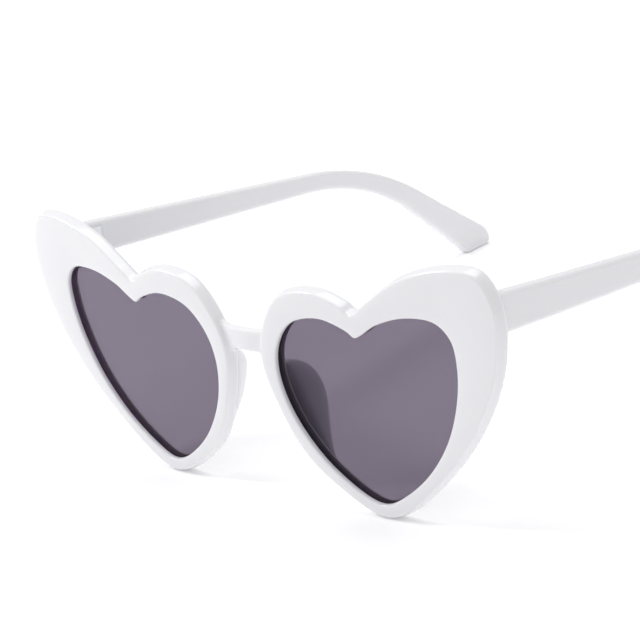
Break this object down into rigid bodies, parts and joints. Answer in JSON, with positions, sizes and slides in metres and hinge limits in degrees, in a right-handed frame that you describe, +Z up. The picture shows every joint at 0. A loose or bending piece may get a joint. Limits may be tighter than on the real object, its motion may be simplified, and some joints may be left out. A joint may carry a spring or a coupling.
{
  "type": "sunglasses",
  "caption": "Sunglasses with a white heart-shaped front swept up at the outer corners, tinted lenses, glued nose pads and temples that fold on leaf hinges.",
  "frame": {"origin": "on the table, below the middle of the whole object with its temples open", "axes": "+Z up, -Y is the way the face of the front looks, +X is the wearer's left"},
  "size_m": [0.144, 0.1452, 0.0583],
  "materials": {
    "white_plastic": "gloss",
    "pearl_plastic": "satin",
    "tinted_lens": "gloss",
    "hinge_steel": "satin"
  },
  "bodies": {
    "front": {"front_frame": "white_plastic", "left_lens": "tinted_lens", "right_lens": "tinted_lens", "left_nose_pad": "pearl_plastic", "right_nose_pad": "pearl_plastic", "left_front_hinge": "hinge_steel", "right_front_hinge": "hinge_steel", "left_hinge_screw": "hinge_steel", "right_hinge_screw": "hinge_steel", "left_front_leaf_screws": "hinge_steel", "right_front_leaf_screws": "hinge_steel"},
    "left_temple_body": {"left_temple": "white_plastic", "left_temple_core": "hinge_steel", "left_temple_hinge": "hinge_steel", "left_temple_leaf_screws": "hinge_steel"},
    "right_temple_body": {"right_temple": "white_plastic", "right_temple_core": "hinge_steel", "right_temple_hinge": "hinge_steel", "right_temple_leaf_screws": "hinge_steel"}
  },
  "joints": [
    {"name": "left_fold", "type": "hinge", "parent": "front", "child": "left_temple_body", "pos_m": [0.06548, -0.06285, 0.04828], "axis": [0, 0, 1], "range_deg": [0, 90]},
    {"name": "right_fold", "type": "hinge", "parent": "front", "child": "right_temple_body", "pos_m": [-0.06548, -0.06285, 0.04828], "axis": [0, 0, -1], "range_deg": [0, 84]}
  ]
}
